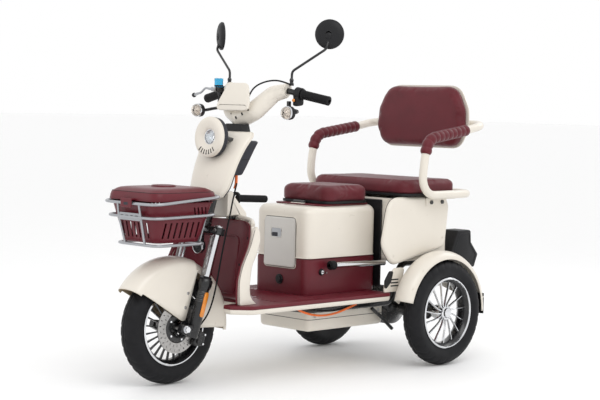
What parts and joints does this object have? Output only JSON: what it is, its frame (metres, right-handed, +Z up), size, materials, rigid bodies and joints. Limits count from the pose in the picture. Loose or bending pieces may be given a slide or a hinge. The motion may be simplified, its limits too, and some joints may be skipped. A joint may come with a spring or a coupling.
{
  "type": "electric tricycle",
  "caption": "Step-through electric tricycle for adults: one steered front wheel with covered basket, two rear wheels, a saddle and a rear bench with arm frame and backrest.",
  "frame": {"origin": "on the ground under the middle of the vehicle's length and width", "axes": "+Z up, the tricycle faces -Y, its left side is +X"},
  "size_m": [0.7186, 1.6234, 1.313],
  "materials": {
    "frame_steel": "satin cream powder coat",
    "black_metal": "satin black",
    "cream_plastic": "gloss cream moulding",
    "maroon_plastic": "satin maroon moulding",
    "maroon_leather": "grained maroon upholstery",
    "black_plastic": "textured black moulding",
    "dark_plastic": "satin dark grey moulding",
    "black_rubber": "matt",
    "tyre_rubber": "matt with side grooves",
    "rim_metal": "polished lip, dark spokes",
    "disc_steel": "ground braking face",
    "chrome": "mirror",
    "silver_tube": "silver paint",
    "lamp_glass": "clear",
    "mirror_body": "satin black",
    "orange_sleeve": "orange cable sleeve"
  },
  "bodies": {
    "chassis": {"main_frame": "frame_steel", "rear_axle_housing": "black_metal", "belly_box": "frame_steel", "floor_deck": "maroon_plastic", "floor_skirt": "cream_plastic", "leg_shield_front": "maroon_plastic", "leg_shield_rear": "cream_plastic", "seat_box_base": "maroon_plastic", "seat_box_shell": "cream_plastic", "saddle_plate": "maroon_plastic", "body_fittings": "black_plastic", "battery_pack": "black_plastic", "side_bars": "chrome", "rear_side_panels": "cream_plastic", "rear_bin": "black_plastic", "rear_fenders": "cream_plastic", "tail_housing": "black_plastic", "arm_frame": "frame_steel", "arm_sleeves": "maroon_leather", "backrest_cushion": "maroon_leather", "backrest_shell": "cream_plastic", "floor_cable": "orange_sleeve"},
    "steering": {"fork_crown": "black_metal", "stanchions": "chrome", "handlebar": "black_metal", "handlebar_cover": "cream_plastic", "dash_cover": "cream_plastic", "left_grip": "black_rubber", "switch_clusters": "black_plastic", "master_cylinder": "black_plastic", "turn_signals": "black_plastic", "column_shield": "cream_plastic", "column_rear_cover": "dark_plastic", "headlight_housing": "cream_plastic", "headlight_lens": "lamp_glass", "basket_frame": "silver_tube", "basket_tub": "maroon_plastic", "control_cables": "black_rubber"},
    "fork_lower": {"fork_sliders": "black_metal", "front_fender": "cream_plastic", "brake_caliper": "black_metal", "brake_hose": "black_rubber"},
    "front_wheel": {"front_tyre": "tyre_rubber", "front_rim": "rim_metal", "front_brake_disc": "disc_steel"},
    "rear_wheel_left": {"rear_tyre_left": "tyre_rubber", "rear_rim_left": "rim_metal"},
    "rear_wheel_right": {"rear_tyre_right": "tyre_rubber", "rear_rim_right": "rim_metal"},
    "throttle": {"throttle_grip": "black_rubber"},
    "brake_lever": {"brake_lever": "chrome"},
    "horn_button": {"horn_button": "black_plastic"},
    "mirror_left": {"mirror_left": "mirror_body"},
    "mirror_right": {"mirror_right": "mirror_body"},
    "basket_lid": {"basket_lid": "maroon_plastic"},
    "battery_door": {"battery_door": "cream_plastic"},
    "saddle": {"saddle_cushion": "maroon_leather"},
    "bench": {"bench_cushion": "maroon_leather"},
    "key": {"key": "chrome"},
    "parking_lever": {"parking_lever": "black_rubber"}
  },
  "joints": [
    {"name": "steer", "type": "hinge", "parent": "chassis", "child": "steering", "pos_m": [0, -0.44667, 0.56], "axis": [0, 0.2924, 0.9563], "range_deg": [-35, 35]},
    {"name": "fork_slide", "type": "slide", "parent": "steering", "child": "fork_lower", "axis": [0, 0.2924, 0.9563], "range_m": [0, 0.025], "stiffness_N_per_m": 20000, "springref_m": -0.03},
    {"name": "front_wheel_spin", "type": "hinge", "parent": "fork_lower", "child": "front_wheel", "pos_m": [0, -0.60667, 0.205], "axis": [1, 0, 0], "continuous": true},
    {"name": "rear_wheel_left_spin", "type": "hinge", "parent": "chassis", "child": "rear_wheel_left", "pos_m": [0.32, 0.51233, 0.205], "axis": [1, 0, 0], "continuous": true},
    {"name": "rear_wheel_right_spin", "type": "hinge", "parent": "chassis", "child": "rear_wheel_right", "pos_m": [-0.32, 0.51233, 0.205], "axis": [1, 0, 0], "continuous": true},
    {"name": "throttle_twist", "type": "hinge", "parent": "steering", "child": "throttle", "pos_m": [-0.27, -0.16432, 1.0297], "axis": [-0.958, 0.2183, -0.186], "range_deg": [0, 70], "stiffness_Nm_per_rad": 0.2, "springref_deg": -17.19},
    {"name": "brake_squeeze", "type": "hinge", "parent": "steering", "child": "brake_lever", "pos_m": [-0.181, -0.25311, 1.05398], "axis": [0, 0, -1], "range_deg": [0, 18], "stiffness_Nm_per_rad": 1, "springref_deg": -11.46},
    {"name": "horn_press", "type": "slide", "parent": "steering", "child": "horn_button", "axis": [0, 1, 0], "range_m": [0, 0.002], "stiffness_N_per_m": 400, "springref_m": -0.001},
    {"name": "mirror_left_turn", "type": "hinge", "parent": "steering", "child": "mirror_left", "pos_m": [0.168, -0.18367, 1.073], "axis": [0, 0, 1], "range_deg": [-40, 40]},
    {"name": "mirror_right_turn", "type": "hinge", "parent": "steering", "child": "mirror_right", "pos_m": [-0.168, -0.18367, 1.073], "axis": [0, 0, 1], "range_deg": [-40, 40]},
    {"name": "basket_lid_lift", "type": "hinge", "parent": "steering", "child": "basket_lid", "pos_m": [0, -0.48467, 0.685], "axis": [-1, 0, 0], "range_deg": [0, 60]},
    {"name": "battery_door_open", "type": "hinge", "parent": "chassis", "child": "battery_door", "pos_m": [0, -0.06517, 0.39], "axis": [1, 0, 0], "range_deg": [0, 80]},
    {"name": "saddle_tip", "type": "hinge", "parent": "chassis", "child": "saddle", "pos_m": [0, 0.03633, 0.634], "axis": [1, 0, 0], "range_deg": [0, 70]},
    {"name": "bench_lift", "type": "hinge", "parent": "chassis", "child": "bench", "pos_m": [0, 0.33333, 0.664], "axis": [1, 0, 0], "range_deg": [0, 50]},
    {"name": "key_turn", "type": "hinge", "parent": "chassis", "child": "key", "pos_m": [0.15, 0.01933, 0.375], "axis": [1, 0, 0], "range_deg": [0, 90]},
    {"name": "parking_pull", "type": "hinge", "parent": "chassis", "child": "parking_lever", "pos_m": [0, -0.29067, 0.654], "axis": [1, 0, 0], "range_deg": [0, 35]}
  ]
}
